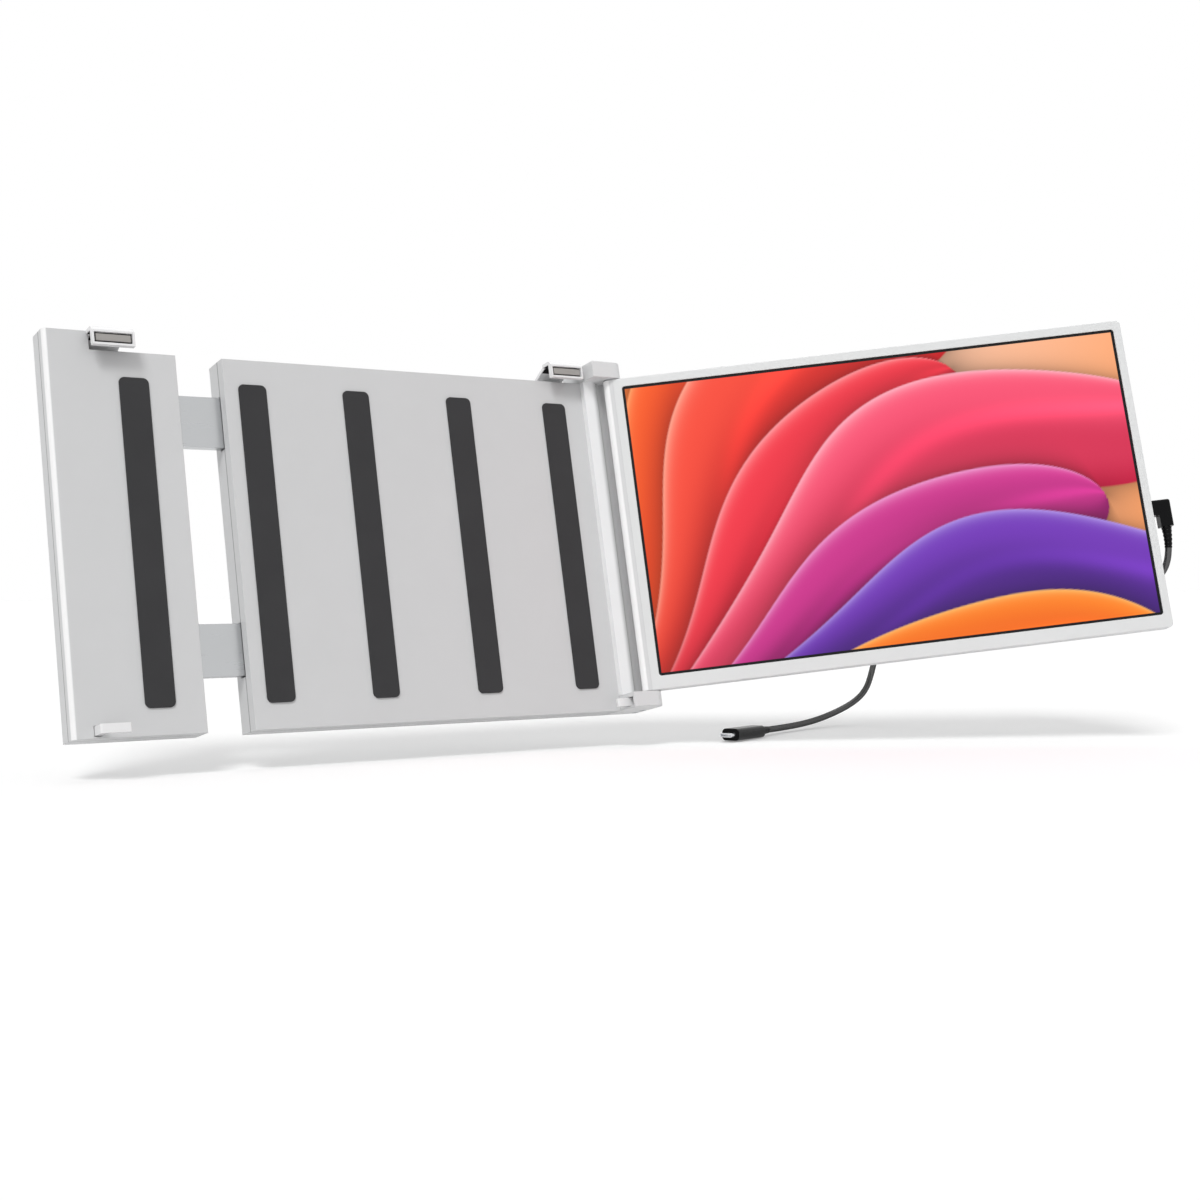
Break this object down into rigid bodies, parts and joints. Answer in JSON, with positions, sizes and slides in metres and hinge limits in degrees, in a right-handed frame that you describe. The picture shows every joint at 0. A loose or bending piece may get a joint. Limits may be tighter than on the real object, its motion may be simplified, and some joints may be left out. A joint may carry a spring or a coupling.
{
  "type": "laptop screen extender",
  "caption": "Clip-on second screen for a laptop: a spreading bracket with sprung lid hooks carries a slim monitor on a vertical friction hinge, fed by a USB-C cord.",
  "frame": {"origin": "centre of the rubber face that the back of the lid rests on, at mid-height of the bracket", "axes": "+X to the viewer's right, +Y away from the viewer, +Z truly up; the bracket leans back 12 degrees with the lid"},
  "size_m": [0.621, 0.2392, 0.2563],
  "materials": {
    "silver_plastic": "fine silver-grey satin",
    "anodised_aluminium": "satin anodised",
    "sheet_aluminium": "plain sheet",
    "steel": "plain",
    "plated_metal": "plated",
    "rubber": "matt",
    "screen_glass": "glossy display face",
    "circuit_board": "solder mask",
    "ribbon_film": "polyimide film",
    "diffuser_plastic": "white diffuser",
    "black_plastic": "satin black",
    "dark_plastic": "matt"
  },
  "bodies": {
    "bracket": {"housing_front_cover": "silver_plastic", "housing_rear_shell": "silver_plastic", "housing_screws": "steel", "housing_rubber_pads": "rubber", "upper_slide_channel": "anodised_aluminium", "lower_slide_channel": "anodised_aluminium", "slide_channel_screws": "steel", "right_hook_guide": "dark_plastic", "right_hook_guide_screws": "steel", "hinge_column": "anodised_aluminium", "top_hinge_block": "silver_plastic", "bottom_hinge_block": "silver_plastic", "top_hinge_pin": "steel", "bottom_hinge_pin": "steel", "hinge_washers": "steel", "hinge_block_screws": "steel"},
    "arm": {"arm_front_cover": "silver_plastic", "arm_rear_shell": "silver_plastic", "arm_screws": "steel", "arm_rubber_pad": "rubber", "upper_slide_bar": "anodised_aluminium", "lower_slide_bar": "anodised_aluminium", "slide_bar_screws": "steel", "left_hook_guide": "dark_plastic", "left_hook_guide_screws": "steel"},
    "left_top_hook": {"left_top_hook": "silver_plastic", "left_grip_pad": "rubber", "left_hook_spring": "steel"},
    "right_top_hook": {"right_top_hook": "silver_plastic", "right_grip_pad": "rubber", "right_hook_spring": "steel"},
    "left_side_hook": {"left_side_hook": "silver_plastic", "left_side_hook_spring": "steel"},
    "right_side_hook": {"right_side_hook": "silver_plastic", "right_side_hook_spring": "steel"},
    "monitor": {"monitor_back_cover": "silver_plastic", "monitor_front_bezel": "silver_plastic", "lcd_panel": "screen_glass", "backlight": "diffuser_plastic", "monitor_chassis": "sheet_aluminium", "driver_board": "circuit_board", "display_ribbon": "ribbon_film", "button_board": "circuit_board", "speakers": "dark_plastic", "usb_c_ports": "plated_metal", "video_port": "plated_metal", "upper_hinge_leaf": "steel", "lower_hinge_leaf": "steel", "hinge_leaf_screws": "steel", "monitor_screws": "steel", "board_screws": "steel", "monitor_plug": "black_plastic", "monitor_plug_shell": "plated_metal", "usb_cord": "black_plastic", "laptop_plug": "black_plastic", "laptop_plug_shell": "plated_metal"},
    "power_button": {"power_button": "silver_plastic"},
    "menu_up_button": {"menu_up_button": "silver_plastic"},
    "menu_down_button": {"menu_down_button": "silver_plastic"}
  },
  "joints": [
    {"name": "arm_slide", "type": "slide", "parent": "bracket", "child": "arm", "axis": [-1, 0, 0], "range_m": [-0.024, 0.075]},
    {"name": "left_top_hook_slide", "type": "slide", "parent": "arm", "child": "left_top_hook", "axis": [0, 0.2079, 0.9781], "range_m": [0, 0.025], "stiffness_N_per_m": 150, "springref_m": -0.01, "deforming": ["left_hook_spring"]},
    {"name": "right_top_hook_slide", "type": "slide", "parent": "bracket", "child": "right_top_hook", "axis": [0, 0.2079, 0.9781], "range_m": [0, 0.025], "stiffness_N_per_m": 150, "springref_m": -0.01, "deforming": ["right_hook_spring"]},
    {"name": "left_side_hook_pull", "type": "slide", "parent": "arm", "child": "left_side_hook", "axis": [0, -0.9781, 0.2079], "range_m": [0, 0.004], "stiffness_N_per_m": 800, "springref_m": -0.001, "deforming": ["left_side_hook_spring"]},
    {"name": "right_side_hook_pull", "type": "slide", "parent": "bracket", "child": "right_side_hook", "axis": [0, -0.9781, 0.2079], "range_m": [0, 0.004], "stiffness_N_per_m": 800, "springref_m": -0.001, "deforming": ["right_side_hook_spring"]},
    {"name": "monitor_hinge", "type": "hinge", "parent": "bracket", "child": "monitor", "pos_m": [0.17, -0.00783, 0.00166], "axis": [0, 0.2079, 0.9781], "range_deg": [-147, 63]},
    {"name": "power_button_press", "type": "slide", "parent": "monitor", "child": "power_button", "axis": [-0.8387, 0.5327, -0.1132], "range_m": [0, 0.0005], "stiffness_N_per_m": 900, "springref_m": -0.0005},
    {"name": "menu_up_button_press", "type": "slide", "parent": "monitor", "child": "menu_up_button", "axis": [-0.8387, 0.5327, -0.1132], "range_m": [0, 0.0005], "stiffness_N_per_m": 900, "springref_m": -0.0005},
    {"name": "menu_down_button_press", "type": "slide", "parent": "monitor", "child": "menu_down_button", "axis": [-0.8387, 0.5327, -0.1132], "range_m": [0, 0.0005], "stiffness_N_per_m": 900, "springref_m": -0.0005}
  ]
}
